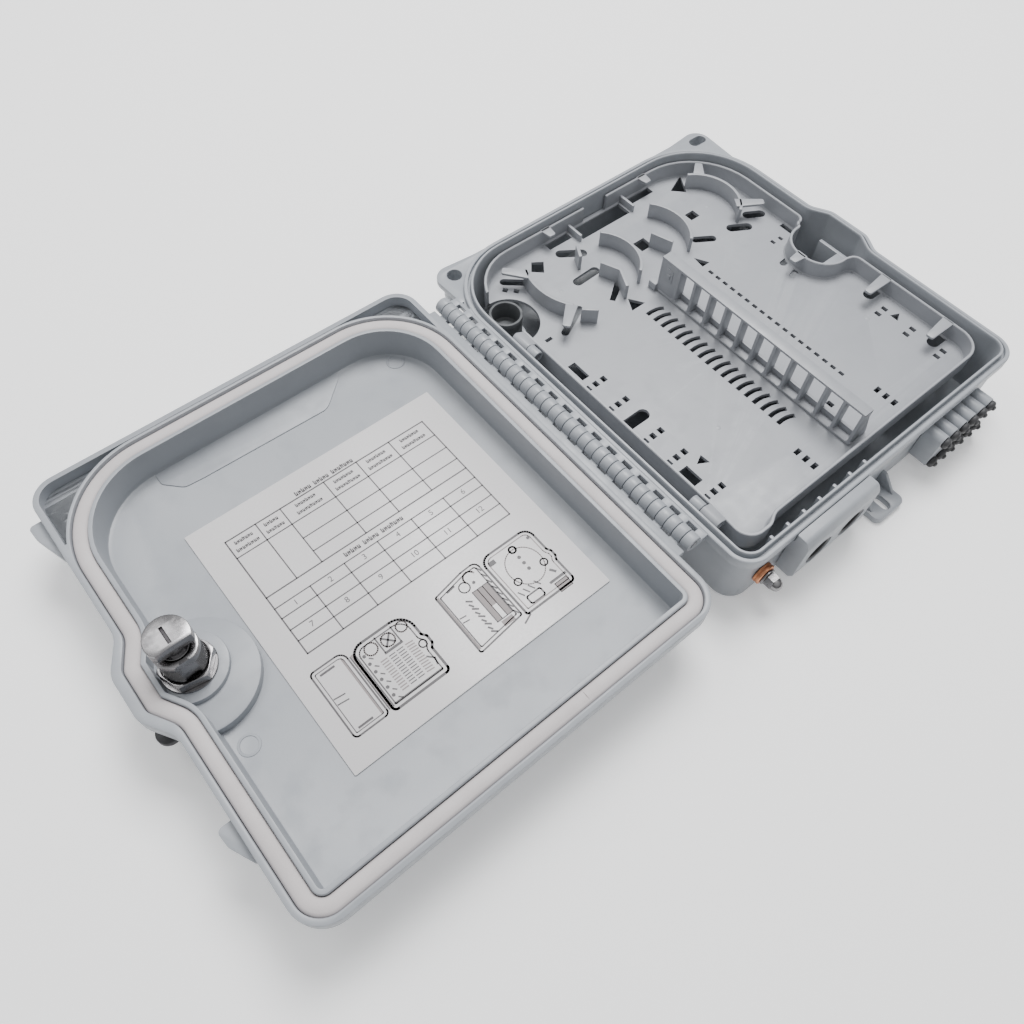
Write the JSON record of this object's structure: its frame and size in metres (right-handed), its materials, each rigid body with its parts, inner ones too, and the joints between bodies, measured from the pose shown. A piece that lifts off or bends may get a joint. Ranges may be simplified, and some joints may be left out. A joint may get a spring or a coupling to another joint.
{
  "type": "fiber termination box",
  "caption": "Wall-mounted fibre distribution box with a hinged, gasketed and lockable cover over a hinged splice tray with an adapter strip.",
  "frame": {"origin": "centre of the base's flat back face, which goes against the wall", "axes": "+X from the hinge to the lock, +Y to the end with the two mounting ears, +Z out of the wall"},
  "size_m": [0.458, 0.2532, 0.062],
  "materials": {
    "grey_abs": "fine satin grey moulding",
    "grey_abs_tray": "satin grey moulding",
    "pale_foam": "soft pale sealing foam",
    "label_paper": "matt printed sheet",
    "chrome": "bright plated",
    "zinc_plate": "zinc plated",
    "copper": "copper coloured, lightly worn",
    "brass": "machined",
    "steel": "drawn wire",
    "black_rubber": "matt black"
  },
  "bodies": {
    "base": {"base_shell": "grey_abs", "hinge_pin": "steel", "rear_entry_grommet": "black_rubber", "cable_entry_block": "grey_abs", "port_grommet_1": "black_rubber", "port_grommet_2": "black_rubber", "drop_outlet_block": "grey_abs", "drop_plug_lower_1": "black_rubber", "drop_plug_lower_2": "black_rubber", "drop_plug_lower_3": "black_rubber", "drop_plug_lower_4": "black_rubber", "drop_plug_lower_5": "black_rubber", "drop_plug_lower_6": "black_rubber", "drop_plug_upper_1": "black_rubber", "drop_plug_upper_2": "black_rubber", "drop_plug_upper_3": "black_rubber", "drop_plug_upper_4": "black_rubber", "drop_plug_upper_5": "black_rubber", "drop_plug_upper_6": "black_rubber", "ground_bushing": "copper", "ground_washer": "chrome", "ground_stud": "brass", "lock_catch": "grey_abs", "tray_pivot_pin_upper": "steel", "tray_pivot_pin_lower": "steel", "cable_clamp_1": "zinc_plate", "cable_clamp_2": "zinc_plate", "clamp_screw_1_left": "zinc_plate", "clamp_screw_1_right": "zinc_plate", "clamp_screw_2_left": "zinc_plate", "clamp_screw_2_right": "zinc_plate"},
    "tray": {"splice_tray": "grey_abs_tray", "adapter_strip": "grey_abs_tray"},
    "cover": {"cover_shell": "grey_abs", "gasket": "pale_foam", "label_sheet": "label_paper", "lock_housing": "chrome", "lock_washer": "chrome", "lock_nut": "chrome", "cap_pivot_screw": "steel"},
    "lock_core": {"lock_plug": "chrome"},
    "dust_cap": {"lock_cap": "black_rubber"},
    "nut": {"ground_nut": "chrome"}
  },
  "joints": [
    {"name": "cover_hinge", "type": "hinge", "parent": "base", "child": "cover", "pos_m": [-0.115, 0, 0.04], "axis": [0, 1, 0], "range_deg": [0, 180]},
    {"name": "tray_hinge", "type": "hinge", "parent": "base", "child": "tray", "pos_m": [-0.0955, 0, 0.035], "axis": [0, 1, 0], "range_deg": [-100, 0]},
    {"name": "lock_turn", "type": "hinge", "parent": "cover", "child": "lock_core", "pos_m": [-0.3185, 0.003, 0.056], "axis": [0, 0, 1], "range_deg": [0, 90]},
    {"name": "lock_cap_swing", "type": "hinge", "parent": "cover", "child": "dust_cap", "pos_m": [-0.34, -0.01, 0.015], "axis": [0, 0, 1], "range_deg": [-90, 0]},
    {"name": "ground_nut_turn", "type": "hinge", "parent": "base", "child": "nut", "pos_m": [-0.088, -0.1208, 0.018], "axis": [0, 1, 0], "continuous": true}
  ]
}
